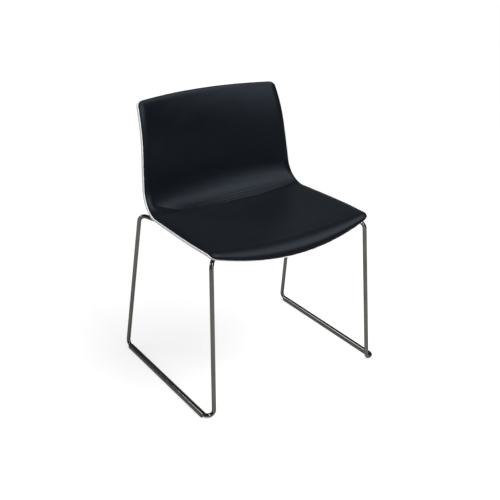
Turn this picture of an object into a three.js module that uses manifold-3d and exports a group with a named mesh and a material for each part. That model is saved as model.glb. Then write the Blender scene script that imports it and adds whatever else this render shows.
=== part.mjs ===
// Sled base visitor chair: one-piece moulded shell with a fixed upholstered face on a bent rod base.
// Millimetres, Z up, the sitter faces -Y, the floor is at Z = 0 and X = 0 is the plane of symmetry.
// The origin ends up under the middle of the bounding box; see the last lines.

import * as THREE from 'three';
import { mergeVertices } from 'three/addons/utils/BufferGeometryUtils.js';
import Module from 'manifold-3d';

const wasm = await Module();
wasm.setup();

// Clearances
const fitGap = 0.3;
const boreGap = 0.3;
const blindEndGap = 0.6;
const layerEdgeGap = 0.8;
const foamGap = 0.5;
const padRimGap = 0.6;
const plateGap = 0.5;

// Distance over which surface slopes are taken, and how closely a station is found
const slopeStep = 0.3;
const stationTolerance = 0.001;

// Centre line of the upholstered face, from the lower end of the front lip to the top edge
const lipEndForward = 249;
const lipEndHeight = 424.8;
const lipRadius = 60;
const lipSweepDeg = 64;
const seatFallDeg = 0.5;
const seatRun = 290.3;
const foldRadius = 95;
const lowerBackLeanDeg = 5.2;
const lowerBackLength = 100.6;
const upperBackRadius = 370;
const topLeanDeg = 28;

// Line of the side edges, bent through the same angles but for its lip, taken at the wrap width
const wrapWidth = 250;
const sideLipEndForward = 227;
const sideLipEndHeight = 464;
const sideLipRadius = 32;
const sideLipSweepDeg = 54;
const sideSeatRun = 284.4;
const sideFoldRadius = 69;
const sideLowerBackLength = 100.5;
const sideUpperBackRadius = 370;

// Width of the shell along that line: shares of the length, then shares of the half width
const shellHalfWidth = 265.8;
const halfWidthShares = [
  [0, 0.958],
  [0.03, 0.976],
  [0.1, 0.986],
  [0.2, 0.997],
  [0.32, 0.993],
  [0.41, 0.986],
  [0.5, 0.976],
  [0.62, 0.954],
  [0.72, 0.934],
  [0.82, 0.911],
  [0.91, 0.893],
  [1, 0.871],
];
const frontCornerRadius = 18;
const topCornerRadius = 17;
const leastCornerRadius = 2.5;

// Layers of the seat, counted down from the upholstered face
const coverThickness = 1.1;
const foamThickness = 4.3;
const carrierThickness = 2;
const shellThickness = 5;
const edgeRollWidth = 9;
const rimUpstand = 2.2;
const rimWall = 2.3;
const rimRounding = 1;
const shellEdgeRounding = 2.4;

// Stations of the faceted faces
const acrossCount = 12;
const cornerCount = 3;
const lipCount = 3;
const seatCount = 5;
const foldCount = 8;
const lowerBackCount = 3;
const upperBackCount = 5;

// Bent rod side frames; outsets and insets are taken from the half width of the shell
const rodRadius = 6;
const rodSides = 12;
const glideFloor = 3;
const runnerOutset = 28.6;
const runnerFrontCorner = 230.5;
const runnerRearCorner = 243.5;
const frontFootOutset = 4.1;
const frontFootForward = 236.2;
const frontTopInset = 12.4;
const frontTopForward = 211;
const frontTopDrop = 25.1;
const rearTopOutset = 5.8;
const rearTopBack = 153.9;
const rearTopDrop = 12.1;
const underSeatInset = 85.8;
const underSeatForward = 140;
const underSeatBack = 24;
const underSeatFrontDrop = 26.4;
const underSeatRearDrop = 34.5;
const footBendRadius = 14;
const topBendRadius = 22;
const underSeatBendRadius = 40;
const bendStepDeg = 18;

// Runner glides
const glideWall = 1.4;
const glideWrapDeg = 16;
const glideFoot = 1.5;
const glideFront = 219;
const glideRear = 226;
const glideArcCount = 10;

// Cross plates and the screw joints that hold the shell
const plateWidth = 34;
const plateThickness = 3;
const plateAcrossCount = 16;
const plateFitPasses = 3;
const plateHoleRadius = 3.4;
const frontPlateForward = 165;
const rearPlateBack = 55;
const screwHalfSpacing = 130;
const bossRadius = 10;
const bossHeight = 7;
const bossRoot = 2;
const insertRadius = 4.6;
const insertLength = 9;
const insertRecess = 0.2;
const screwRadius = 3;
const screwHeadRadius = 6;
const screwHeadHeight = 3.6;
const screwHeadEdge = 0.8;
const screwTipEdge = 0.7;
const screwTipGap = 1.2;
const socketAcross = 2.3;
const socketDepth = 2;
const washerRadius = 7.5;
const washerThickness = 1.2;
const turnedSides = 16;
const hexSides = 6;

const radians = (degrees) => (degrees * Math.PI) / 180;
const quarterTurn = Math.PI / 2;
const fullTurn = Math.PI * 2;

// Depths of the layer faces below the upholstered face
const coverBack = coverThickness;
const foamFace = coverBack + foamGap;
const foamBack = foamFace + foamThickness;
const carrierFace = foamBack + fitGap;
const carrierBack = carrierFace + carrierThickness;
const shellFace = carrierBack + fitGap;
const shellBack = shellFace + shellThickness;
const bossEnd = shellBack + bossHeight;
const plateFace = bossEnd + plateGap;
const plateBack = plateFace + plateThickness;
const rodHeight = glideFloor + fitGap + rodRadius;

// Half spans of the rod's corners
const runnerHalfSpan = shellHalfWidth + runnerOutset;
const frontFootHalfSpan = shellHalfWidth + frontFootOutset;
const frontTopHalfSpan = shellHalfWidth - frontTopInset;
const rearTopHalfSpan = shellHalfWidth + rearTopOutset;
const underSeatHalfSpan = shellHalfWidth - underSeatInset;

// Centre and side lines, each a chain of arcs and straight runs

const seatFall = radians(seatFallDeg);
const foldEndAngle = quarterTurn - radians(lowerBackLeanDeg);
const topAngle = quarterTurn - radians(topLeanDeg);

function bentLine(forward, height, lipBend, lipSweep, run, foldBend, lowerRun, upperBend) {
  const parts = [
    { length: lipBend * (lipSweep + seatFall), from: lipSweep, to: -seatFall },
    { length: run, from: -seatFall, to: -seatFall },
    { length: foldBend * (foldEndAngle + seatFall), from: -seatFall, to: foldEndAngle },
    { length: lowerRun, from: foldEndAngle, to: foldEndAngle },
    { length: upperBend * (foldEndAngle - topAngle), from: foldEndAngle, to: topAngle },
  ];
  let start = 0;
  let origin = new THREE.Vector2(-forward, height);
  for (const part of parts) {
    part.start = start;
    part.origin = origin;
    start += part.length;
    origin = pointAlong(part, part.length);
  }
  return parts;
}

function pointAlong(part, distance) {
  const turn = part.to - part.from;
  if (turn === 0) {
    return new THREE.Vector2(
      part.origin.x + distance * Math.cos(part.from),
      part.origin.y + distance * Math.sin(part.from),
    );
  }
  const radius = part.length / turn;
  const angle = part.from + distance / radius;
  return new THREE.Vector2(
    part.origin.x + radius * (Math.sin(angle) - Math.sin(part.from)),
    part.origin.y - radius * (Math.cos(angle) - Math.cos(part.from)),
  );
}

const centreParts = bentLine(
  lipEndForward,
  lipEndHeight,
  lipRadius,
  radians(lipSweepDeg),
  seatRun,
  foldRadius,
  lowerBackLength,
  upperBackRadius,
);
const sideParts = bentLine(
  sideLipEndForward,
  sideLipEndHeight,
  sideLipRadius,
  radians(sideLipSweepDeg),
  sideSeatRun,
  sideFoldRadius,
  sideLowerBackLength,
  sideUpperBackRadius,
);
const [, seatPart, foldPart, lowerBackPart, upperBackPart] = centreParts;
const foldEnd = lowerBackPart.start;
const profileLength = upperBackPart.start + upperBackPart.length;

// Smooth curve through rows of [position, value]
function curveThrough(rows, position) {
  const last = rows.length - 1;
  const clamped = Math.min(Math.max(position, rows[0][0]), rows[last][0]);
  let k = 0;
  while (k < last - 1 && clamped > rows[k + 1][0]) {
    k += 1;
  }
  const slopeAt = (n) => {
    const before = rows[Math.max(n - 1, 0)];
    const after = rows[Math.min(n + 1, last)];
    return (after[1] - before[1]) / (after[0] - before[0]);
  };
  const [x0, y0] = rows[k];
  const [x1, y1] = rows[k + 1];
  const span = x1 - x0;
  const t = (clamped - x0) / span;
  const rise = y1 - y0;
  const a = slopeAt(k) * span - rise;
  const b = rise - slopeAt(k + 1) * span;
  return y0 + t * rise + t * (1 - t) * (a * (1 - t) + b * t);
}

// Upholstered face as a surface over distance along the centre line and distance across

function facePoint(s, x) {
  let k = 0;
  while (k < centreParts.length - 1 && s >= centreParts[k + 1].start) {
    k += 1;
  }
  const distance = s - centreParts[k].start;
  const centre = pointAlong(centreParts[k], distance);
  const side = pointAlong(sideParts[k], (distance * sideParts[k].length) / centreParts[k].length);
  const between = centre.lerp(side, (x / wrapWidth) ** 2);
  return new THREE.Vector3(x, between.x, between.y);
}

function faceNormal(s, x) {
  const across = facePoint(s, x + slopeStep).sub(facePoint(s, x - slopeStep));
  const along = facePoint(s + slopeStep, x).sub(facePoint(s - slopeStep, x));
  return across.cross(along).normalize();
}

function layerPoint(s, x, depth) {
  return facePoint(s, x).addScaledVector(faceNormal(s, x), -depth);
}

function outlineHalfWidth(s) {
  return shellHalfWidth * curveThrough(halfWidthShares, s / profileLength);
}

// Half width at each station of an outline drawn in by an inset, with rounded corners at both ends
function stationsFor(inset) {
  const frontRadius = Math.max(frontCornerRadius - inset, leastCornerRadius);
  const topRadius = Math.max(topCornerRadius - inset, leastCornerRadius);
  const stations = [];
  const cornerStation = (end, direction, radius, k) => {
    const angle = (quarterTurn * k) / cornerCount;
    const s = end + direction * radius * (1 - Math.cos(angle));
    const reach = radius * Math.sin(angle);
    stations.push({ s, half: outlineHalfWidth(s) - inset - radius + reach });
  };
  const spread = (from, to, count) => {
    for (let k = 1; k <= count; k += 1) {
      const s = from + ((to - from) * k) / count;
      stations.push({ s, half: outlineHalfWidth(s) - inset });
    }
  };
  for (let k = 0; k <= cornerCount; k += 1) {
    cornerStation(inset, 1, frontRadius, k);
  }
  spread(frontCornerRadius, seatPart.start, lipCount);
  spread(seatPart.start, foldPart.start, seatCount);
  spread(foldPart.start, foldEnd, foldCount);
  spread(foldEnd, upperBackPart.start, lowerBackCount);
  spread(upperBackPart.start, profileLength - topCornerRadius, upperBackCount);
  for (let k = cornerCount - 1; k >= 0; k -= 1) {
    cornerStation(profileLength - inset, -1, topRadius, k);
  }
  return stations;
}

// Mesh helpers

function closedMesh(vertices, triangles) {
  const geometry = new THREE.BufferGeometry();
  const positions = vertices.flatMap((v) => [v.x, v.y, v.z]);
  geometry.setAttribute('position', new THREE.Float32BufferAttribute(positions, 3));
  geometry.setIndex(triangles.flat());
  return geometry;
}

// One closed body from a front sheet, any number of edge loops, and a back sheet.
// Each row of rings is [inset, depth]; the first and the last rows are whole sheets.
function layeredBody(rings, pointAt, stationsOf, columns) {
  const vertices = [];
  const triangles = [];
  const add = (v) => vertices.push(v) - 1;
  const gridOf = (inset, depth) =>
    stationsOf(inset).map(({ s, half }) =>
      Array.from({ length: columns + 1 }, (_, i) => {
        const x = half * ((2 * i) / columns - 1);
        return add(pointAt(s, x, depth));
      }),
    );
  const loopOf = (grid) => {
    const rows = grid.length;
    const loop = [];
    for (let i = 0; i < columns; i += 1) {
      loop.push(grid[0][i]);
    }
    for (let j = 0; j < rows - 1; j += 1) {
      loop.push(grid[j][columns]);
    }
    for (let i = columns; i > 0; i -= 1) {
      loop.push(grid[rows - 1][i]);
    }
    for (let j = rows - 1; j > 0; j -= 1) {
      loop.push(grid[j][0]);
    }
    return loop;
  };
  const edgeLoop = (inset, depth) => {
    const stations = stationsOf(inset);
    const rows = stations.length;
    const at = (j, i) => add(pointAt(stations[j].s, stations[j].half * ((2 * i) / columns - 1), depth));
    const loop = [];
    for (let i = 0; i < columns; i += 1) {
      loop.push(at(0, i));
    }
    for (let j = 0; j < rows - 1; j += 1) {
      loop.push(at(j, columns));
    }
    for (let i = columns; i > 0; i -= 1) {
      loop.push(at(rows - 1, i));
    }
    for (let j = rows - 1; j > 0; j -= 1) {
      loop.push(at(j, 0));
    }
    return loop;
  };
  const coverGrid = (grid, facingFront) => {
    for (let j = 0; j < grid.length - 1; j += 1) {
      for (let i = 0; i < columns; i += 1) {
        const a = grid[j][i];
        const b = grid[j][i + 1];
        const c = grid[j + 1][i + 1];
        const d = grid[j + 1][i];
        if (facingFront) {
          triangles.push([a, b, c], [a, c, d]);
        } else {
          triangles.push([a, c, b], [a, d, c]);
        }
      }
    }
  };
  const front = gridOf(...rings[0]);
  const back = gridOf(...rings[rings.length - 1]);
  const loops = rings.slice(1, -1).map(([inset, depth]) => edgeLoop(inset, depth));
  loops.unshift(loopOf(front));
  loops.push(loopOf(back));
  coverGrid(front, true);
  coverGrid(back, false);
  for (let n = 0; n < loops.length - 1; n += 1) {
    const upper = loops[n];
    const lower = loops[n + 1];
    for (let k = 0; k < upper.length; k += 1) {
      const next = (k + 1) % upper.length;
      triangles.push([lower[k], lower[next], upper[next]], [lower[k], upper[next], upper[k]]);
    }
  }
  return closedMesh(vertices, triangles);
}

// Rows of [radius, height] turned about Z; a radius of zero is a pole.
// A closed profile returns to its first row, which gives a ring.
function turnedSolid(profile, sides, closed = false) {
  const vertices = [];
  const triangles = [];
  const rings = profile.map(([radius, height]) =>
    Array.from({ length: radius === 0 ? 1 : sides }, (_, k) => {
      const angle = (fullTurn * k) / sides;
      const corner = new THREE.Vector3(radius * Math.cos(angle), radius * Math.sin(angle), height);
      return vertices.push(corner) - 1;
    }),
  );
  joinRings(closed ? [...rings, rings[0]] : rings, triangles, sides);
  return closedMesh(vertices, triangles);
}

function joinRings(rings, triangles, sides) {
  for (let n = 0; n < rings.length - 1; n += 1) {
    const lower = rings[n];
    const upper = rings[n + 1];
    for (let k = 0; k < sides; k += 1) {
      const next = (k + 1) % sides;
      if (lower.length > 1) {
        triangles.push([lower[k], lower[next], upper[upper.length > 1 ? next : 0]]);
      }
      if (upper.length > 1) {
        triangles.push([lower[lower.length > 1 ? k : 0], upper[next], upper[k]]);
      }
    }
  }
}

function toManifold(geometry) {
  const bare = new THREE.BufferGeometry();
  bare.setAttribute('position', geometry.getAttribute('position'));
  bare.setIndex(geometry.getIndex());
  const merged = mergeVertices(bare);
  return new wasm.Manifold(
    new wasm.Mesh({
      numProp: 3,
      vertProperties: new Float32Array(merged.getAttribute('position').array),
      triVerts: new Uint32Array(merged.getIndex().array),
    }),
  );
}

function fromManifold(solid) {
  const mesh = solid.getMesh();
  const geometry = new THREE.BufferGeometry();
  geometry.setAttribute('position', new THREE.Float32BufferAttribute(mesh.vertProperties, 3));
  geometry.setIndex(Array.from(mesh.triVerts));
  return geometry;
}

const chair = new THREE.Group();

function place(name, geometry, material) {
  geometry.computeVertexNormals();
  const mesh = new THREE.Mesh(geometry, new THREE.MeshStandardMaterial(material));
  mesh.name = name;
  chair.add(mesh);
}

const whitePlastic = { color: 0xe9e9e6, roughness: 0.42, metalness: 0 };
const blackLeather = { color: 0x15171b, roughness: 0.5, metalness: 0 };
const greyFoam = { color: 0x6e6c66, roughness: 0.95, metalness: 0 };
const blackBoard = { color: 0x202022, roughness: 0.7, metalness: 0 };
const chromedSteel = { color: 0xb9b9b6, roughness: 0.12, metalness: 1 };
const greyPlastic = { color: 0x33332f, roughness: 0.6, metalness: 0 };
const zincSteel = { color: 0xa7a9ab, roughness: 0.35, metalness: 1 };
const brass = { color: 0xb08d4a, roughness: 0.3, metalness: 1 };

// Seat layers

const padEdge = rimWall + padRimGap;
const skinEdge = padEdge + coverThickness;
const foamEdge = skinEdge + layerEdgeGap;
const rollEdge = padEdge + edgeRollWidth;

// Rounded edge of the upholstery: shares of the roll width and of the pad depth
const outerRollShares = [
  [0.5, 0.03],
  [0.2, 0.14],
  [0, 0.45],
];
const innerRollShares = [
  [0.28, 0.12],
  [0, 0.5],
];

const rolledEdge = (shares, edge, face) =>
  shares.map(([widthShare, depthShare]) => [
    edge + (rollEdge - edge) * widthShare,
    face + (carrierBack - face) * depthShare,
  ]);
const skinRoll = rolledEdge(innerRollShares, skinEdge, coverBack);
const foamRoll = skinRoll.map(([inset, depth]) => [inset + layerEdgeGap, depth + fitGap]);

const coverBody = layeredBody(
  [
    [rollEdge, 0],
    ...rolledEdge(outerRollShares, padEdge, 0),
    [padEdge, carrierBack],
    [skinEdge, carrierBack],
    ...[...skinRoll].reverse(),
    [rollEdge, coverBack],
  ],
  layerPoint,
  stationsFor,
  acrossCount,
);
place('upholstery_cover', coverBody, blackLeather);

const foamBody = layeredBody(
  [[rollEdge, foamFace], ...foamRoll, [foamEdge, foamBack]],
  layerPoint,
  stationsFor,
  acrossCount,
);
place('foam_pad', foamBody, greyFoam);

const carrierBody = layeredBody(
  [
    [foamEdge, carrierFace],
    [foamEdge, carrierBack],
  ],
  layerPoint,
  stationsFor,
  acrossCount,
);
place('pad_carrier', carrierBody, blackBoard);

// Screw joints: one frame at each point, its Z axis along the outward normal of the shell's back

// Distance along the centre line at which the seat reaches a given Y on the line through x
function stationAt(y, x) {
  let low = 0;
  let high = foldEnd;
  while (high - low > stationTolerance) {
    const middle = (low + high) / 2;
    if (facePoint(middle, x).y < y) {
      low = middle;
    } else {
      high = middle;
    }
  }
  return (low + high) / 2;
}

const plateMiddles = { front: -frontPlateForward, rear: rearPlateBack };
const joints = [];
for (const [end, y] of Object.entries(plateMiddles)) {
  for (const [side, sign] of [
    ['left', -1],
    ['right', 1],
  ]) {
    const x = sign * screwHalfSpacing;
    const s = stationAt(y, x);
    const outward = faceNormal(s, x).negate();
    const turn = new THREE.Quaternion().setFromUnitVectors(new THREE.Vector3(0, 0, 1), outward);
    joints.push({ name: `${end}_${side}`, origin: facePoint(s, x), turn });
  }
}

// A body drawn by depth along Z is moved to a joint's frame
function atJoint(geometry, joint) {
  return geometry.clone().applyMatrix4(
    new THREE.Matrix4().compose(joint.origin, joint.turn, new THREE.Vector3(1, 1, 1)),
  );
}

const rod = (radius, from, to, sides = turnedSides) =>
  turnedSolid(
    [
      [0, from],
      [radius, from],
      [radius, to],
      [0, to],
    ],
    sides,
  );

// Moulded shell with its four bosses

const upstandEdge = rimWall;
const upstandTop = shellFace - rimUpstand;
const shellSheet = layeredBody(
  [
    [upstandEdge, shellFace],
    [upstandEdge, upstandTop + rimRounding],
    [upstandEdge - rimRounding / 2, upstandTop],
    [rimRounding / 2, upstandTop],
    [0, upstandTop + rimRounding],
    [0, shellBack - shellEdgeRounding],
    [shellEdgeRounding / 3, shellBack - shellEdgeRounding / 3],
    [shellEdgeRounding, shellBack],
  ],
  layerPoint,
  stationsFor,
  acrossCount,
);

const insertTop = bossEnd - insertRecess - insertLength;
const bossTool = rod(bossRadius, shellBack - bossRoot, bossEnd);
const insertHoleTool = rod(insertRadius + boreGap, insertTop - blindEndGap, bossEnd + blindEndGap);
let shellBody = toManifold(shellSheet);
for (const joint of joints) {
  shellBody = shellBody.add(toManifold(atJoint(bossTool, joint)));
}
for (const joint of joints) {
  shellBody = shellBody.subtract(toManifold(atJoint(insertHoleTool, joint)));
}
place('seat_shell', fromManifold(shellBody), whitePlastic);

// Inserts, washers and screws

const insertBore = screwRadius + boreGap;
const insertBody = turnedSolid(
  [
    [insertRadius, insertTop],
    [insertRadius, insertTop + insertLength],
    [insertBore, insertTop + insertLength],
    [insertBore, insertTop],
  ],
  turnedSides,
  true,
);
const washerFace = plateBack + fitGap;
const washerBody = turnedSolid(
  [
    [washerRadius, washerFace],
    [washerRadius, washerFace + washerThickness],
    [insertBore, washerFace + washerThickness],
    [insertBore, washerFace],
  ],
  turnedSides,
  true,
);
const headFace = washerFace + washerThickness + fitGap;
const headTop = headFace + screwHeadHeight;
const screwTip = insertTop + screwTipGap;
const screwBlank = turnedSolid(
  [
    [0, screwTip],
    [screwRadius - screwTipEdge, screwTip],
    [screwRadius, screwTip + screwTipEdge],
    [screwRadius, headFace],
    [screwHeadRadius, headFace],
    [screwHeadRadius, headTop - screwHeadEdge],
    [screwHeadRadius - screwHeadEdge, headTop],
    [0, headTop],
  ],
  turnedSides,
);
const socketTool = rod(socketAcross, headTop - socketDepth, headTop + blindEndGap, hexSides);
const screwBody = fromManifold(toManifold(screwBlank).subtract(toManifold(socketTool)));
for (const joint of joints) {
  place(`thread_insert_${joint.name}`, atJoint(insertBody, joint), brass);
  place(`washer_${joint.name}`, atJoint(washerBody, joint), zincSteel);
  place(`screw_${joint.name}`, atJoint(screwBody, joint), zincSteel);
}

// Side frames: each one rod bent into a closed loop

// Corners of the rod let down below the upholstered face: under the face itself, and behind the fold
// by the height at which the seat runs out
const underFace = (x, y, drop) => [x, y, facePoint(stationAt(y, x), x).z - drop];
const behindFold = (x, y, drop) => [x, y, facePoint(foldPart.start, x).z - drop];

// Corners of the right-hand loop, each with the radius of its bend
const loopCorners = [
  [[runnerHalfSpan, runnerRearCorner, rodHeight], footBendRadius],
  [[runnerHalfSpan, -runnerFrontCorner, rodHeight], footBendRadius],
  [[frontFootHalfSpan, -frontFootForward, rodHeight], footBendRadius],
  [underFace(frontTopHalfSpan, -frontTopForward, frontTopDrop), topBendRadius],
  [underFace(underSeatHalfSpan, -underSeatForward, underSeatFrontDrop), underSeatBendRadius],
  [underFace(underSeatHalfSpan, underSeatBack, underSeatRearDrop), underSeatBendRadius],
  [behindFold(rearTopHalfSpan, rearTopBack, rearTopDrop), topBendRadius],
].map(([point, radius]) => ({ point: new THREE.Vector3(...point), radius }));

function bentPath(corners) {
  const path = [];
  corners.forEach(({ point, radius }, k) => {
    const before = corners[(k + corners.length - 1) % corners.length].point;
    const after = corners[(k + 1) % corners.length].point;
    const arriving = point.clone().sub(before).normalize();
    const leaving = after.clone().sub(point).normalize();
    const turn = arriving.angleTo(leaving);
    const reach = radius * Math.tan(turn / 2);
    const inward = leaving.clone().sub(arriving).normalize();
    const centre = point.clone().addScaledVector(inward, radius / Math.cos(turn / 2));
    const start = point.clone().addScaledVector(arriving, -reach).sub(centre);
    const steps = Math.ceil(turn / radians(bendStepDeg));
    const axis = arriving.clone().cross(leaving).normalize();
    for (let n = 0; n <= steps; n += 1) {
      const angle = (turn * n) / steps;
      path.push({
        at: start.clone().applyAxisAngle(axis, angle).add(centre),
        heading: arriving.clone().applyAxisAngle(axis, angle),
      });
    }
  });
  return path;
}

// Round section carried along a closed path without a net twist
function sweptLoop(path, radius, sides) {
  const count = path.length;
  const sideways = [new THREE.Vector3(1, 0, 0)];
  sideways[0].addScaledVector(path[0].heading, -sideways[0].dot(path[0].heading)).normalize();
  for (let k = 1; k <= count; k += 1) {
    const turn = new THREE.Quaternion().setFromUnitVectors(path[k - 1].heading, path[k % count].heading);
    sideways.push(sideways[k - 1].clone().applyQuaternion(turn));
  }
  const closing = sideways[count].clone().cross(sideways[0]).dot(path[0].heading);
  const twist = Math.atan2(closing, sideways[count].dot(sideways[0]));
  const vertices = [];
  const rings = path.map(({ at, heading }, k) => {
    const out = sideways[k].clone().applyAxisAngle(heading, (twist * k) / count);
    return Array.from({ length: sides }, (_, n) => {
      const spoke = out.clone().applyAxisAngle(heading, (fullTurn * n) / sides);
      return vertices.push(at.clone().addScaledVector(spoke, radius)) - 1;
    });
  });
  const triangles = [];
  joinRings([...rings, rings[0]], triangles, sides);
  return closedMesh(vertices, triangles);
}

function mirrored(geometry) {
  const copy = geometry.clone();
  copy.scale(-1, 1, 1);
  const index = copy.getIndex();
  for (let k = 0; k < index.count; k += 3) {
    const second = index.getX(k + 1);
    index.setX(k + 1, index.getX(k + 2));
    index.setX(k + 2, second);
  }
  return copy;
}

const frameLoop = sweptLoop(bentPath(loopCorners), rodRadius, rodSides);
place('side_frame_right', frameLoop, chromedSteel);
place('side_frame_left', mirrored(frameLoop), chromedSteel);

// Cross plates, drawn along the shell's back and cut to meet the rods

// Half width at which a plate's edge stops short of a rod that runs between two corners of the loop
function plateReach(from, to, y) {
  const run = to.clone().sub(from);
  const lean = Math.hypot(run.x, run.y) / Math.abs(run.y);
  const end = from.x + (run.x * (y - from.y)) / run.y - (rodRadius + plateGap) * lean;
  let half = end;
  for (let pass = 0; pass < plateFitPasses; pass += 1) {
    half -= layerPoint(stationAt(y, half), half, plateBack).x - end;
  }
  return half;
}

const plateHoleTool = rod(plateHoleRadius, plateFace - blindEndGap, plateBack + blindEndGap);

function crossPlate(end, from, to) {
  const edges = [plateMiddles[end] - plateWidth / 2, plateMiddles[end] + plateWidth / 2];
  const blank = layeredBody(
    [
      [0, plateFace],
      [0, plateBack],
    ],
    (y, x, depth) => layerPoint(stationAt(y, x), x, depth),
    () => edges.map((y) => ({ s: y, half: plateReach(from, to, y) })),
    plateAcrossCount,
  );
  let plate = toManifold(blank);
  for (const joint of joints.filter(({ name }) => name.startsWith(end))) {
    plate = plate.subtract(toManifold(atJoint(plateHoleTool, joint)));
  }
  return fromManifold(plate);
}

const [, , , frontTop, frontInner, rearInner, rearTop] = loopCorners.map(({ point }) => point);
place('cross_plate_front', crossPlate('front', frontTop, frontInner), chromedSteel);
place('cross_plate_rear', crossPlate('rear', rearInner, rearTop), chromedSteel);

// Runner glides: a channel snapped over the lower half of each runner

const glideBore = rodRadius + fitGap;
const glideOuter = glideBore + glideWall;
const glideSection = new THREE.Shape();
const lipTurn = radians(glideWrapDeg);
glideSection.moveTo(glideOuter * Math.cos(lipTurn), rodHeight + glideOuter * Math.sin(lipTurn));
for (let k = 0; k <= glideArcCount; k += 1) {
  const angle = lipTurn - ((Math.PI + 2 * lipTurn) * k) / glideArcCount;
  glideSection.lineTo(glideBore * Math.cos(angle), rodHeight + glideBore * Math.sin(angle));
}
glideSection.lineTo(-glideOuter * Math.cos(lipTurn), rodHeight + glideOuter * Math.sin(lipTurn));
glideSection.lineTo(-glideOuter, rodHeight);
glideSection.lineTo(-glideOuter, glideFoot);
glideSection.lineTo(-glideOuter + glideFoot, 0);
glideSection.lineTo(glideOuter - glideFoot, 0);
glideSection.lineTo(glideOuter, glideFoot);
glideSection.lineTo(glideOuter, rodHeight);

const glideStock = new THREE.ExtrudeGeometry(glideSection, {
  depth: glideFront + glideRear,
  bevelEnabled: false,
  steps: 1,
});
glideStock.deleteAttribute('normal');
glideStock.deleteAttribute('uv');
const glideBody = mergeVertices(glideStock);
glideBody.rotateX(quarterTurn);
for (const [side, sign] of [
  ['left', -1],
  ['right', 1],
]) {
  const glide = glideBody.clone().translate(sign * runnerHalfSpan, glideRear, 0);
  place(`runner_glide_${side}`, glide, greyPlastic);
}

// Footprint centred on the origin

const extent = new THREE.Box3().setFromObject(chair);
for (const piece of chair.children) {
  piece.geometry.translate(0, -(extent.min.y + extent.max.y) / 2, 0);
}

export default chair;
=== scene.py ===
import math

import bmesh
import bpy
import numpy as np
from mathutils import Matrix, Quaternion, Vector


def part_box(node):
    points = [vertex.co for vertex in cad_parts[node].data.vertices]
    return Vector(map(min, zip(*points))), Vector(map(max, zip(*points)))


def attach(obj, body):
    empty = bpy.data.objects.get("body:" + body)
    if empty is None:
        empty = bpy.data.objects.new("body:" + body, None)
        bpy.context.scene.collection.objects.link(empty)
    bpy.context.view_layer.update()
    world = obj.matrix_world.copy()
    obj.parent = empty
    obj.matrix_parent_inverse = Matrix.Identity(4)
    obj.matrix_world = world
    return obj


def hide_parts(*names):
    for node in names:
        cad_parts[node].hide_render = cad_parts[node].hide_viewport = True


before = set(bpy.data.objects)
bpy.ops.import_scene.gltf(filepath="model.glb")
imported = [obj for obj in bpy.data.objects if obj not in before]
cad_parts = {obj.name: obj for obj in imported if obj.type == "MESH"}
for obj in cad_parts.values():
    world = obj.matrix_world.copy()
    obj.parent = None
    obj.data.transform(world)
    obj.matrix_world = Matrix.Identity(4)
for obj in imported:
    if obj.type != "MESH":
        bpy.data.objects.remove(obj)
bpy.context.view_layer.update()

# Lengths are in millimetres up to the point where a mesh is made
MM = 0.001
QUARTER = math.pi / 2
TURN = math.pi * 2
IMAGE_SIZE = 500

# Centre line of the upholstered face, from the lower end of the front lip to the top edge
LIP_END_FORWARD = 249.0
LIP_END_HEIGHT = 424.8
LIP_RADIUS = 60.0
SEAT_RUN = 290.3
FOLD_RADIUS = 95.0
LOWER_BACK_LENGTH = 100.6
UPPER_BACK_RADIUS = 370.0
LIP_SWEEP = math.radians(64)
SIDE_LIP_SWEEP = math.radians(54)
SEAT_FALL = math.radians(0.5)
FOLD_END = QUARTER - math.radians(5.2)
TOP_ANGLE = QUARTER - math.radians(28)

# Line of the side edges, taken at the wrap width
WRAP_WIDTH = 250.0
SIDE_LIP_END_FORWARD = 227.0
SIDE_LIP_END_HEIGHT = 464.0
SIDE_LIP_RADIUS = 32.0
SIDE_SEAT_RUN = 284.4
SIDE_FOLD_RADIUS = 69.0
SIDE_LOWER_BACK_LENGTH = 100.5
SIDE_UPPER_BACK_RADIUS = 370.0

# Width of the shell: shares of the length and of the half width
SHELL_HALF_WIDTH = 265.8
WIDTH_SHARES = [
    (0, 0.958), (0.03, 0.976), (0.1, 0.986), (0.2, 0.997), (0.32, 0.993), (0.41, 0.986),
    (0.5, 0.976), (0.62, 0.954), (0.72, 0.934), (0.82, 0.911), (0.91, 0.893), (1, 0.871),
]
FRONT_CORNER = 18.0
TOP_CORNER = 17.0
LEAST_CORNER = 2.5

# Layers, counted down from the upholstered face
COVER_BACK = 1.1
FOAM_FACE = 1.6
FOAM_BACK = 5.9
CARRIER_FACE = 6.2
CARRIER_BACK = 8.2
SHELL_FACE = 8.5
SHELL_BACK = 13.5
PLATE_MIDDLE = 22.5

# Insets from the shell's outline: the leather's outer and inner face, the foam and the carrier
PAD_EDGE = 2.9
SKIN_EDGE = 4.0
FOAM_EDGE = 4.8

# Rim of the shell that stands round the pad
RIM_WALL = 2.3
RIM_TOP = 6.3
RIM_ROUNDING = 0.9
SHELL_EDGE_ROUNDING = 2.4

# Screw bosses on the shell's back and their blind holes; the ends and the floor are depths too
BOSS_END = 20.5
BOSS_RADIUS = 10.0
BOSS_FILLET = 2.4
BOSS_SINK = 0.3
BOSS_CHAMFER = 0.7
BOSS_CHAMFER_MIDDLE = 0.2
HOLE_RADIUS = 4.75
HOLE_FLOOR = 11.3
HOLE_CHAMFER = 0.4
HOLE_CENTRE = 0.2

# Roll of the pad's edge: the leather's outer face, its inner face and the foam below it
ROLL_WIDTH = 18.0
ROLL_FALL = 4.2
ROLL_RADIUS = 1.7
SKIN_ROLL = (ROLL_WIDTH - COVER_BACK, ROLL_FALL - 0.4, 1.0)
FOAM_ROLL = (ROLL_WIDTH - 1.8, ROLL_FALL - 0.6, 0.6)

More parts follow.
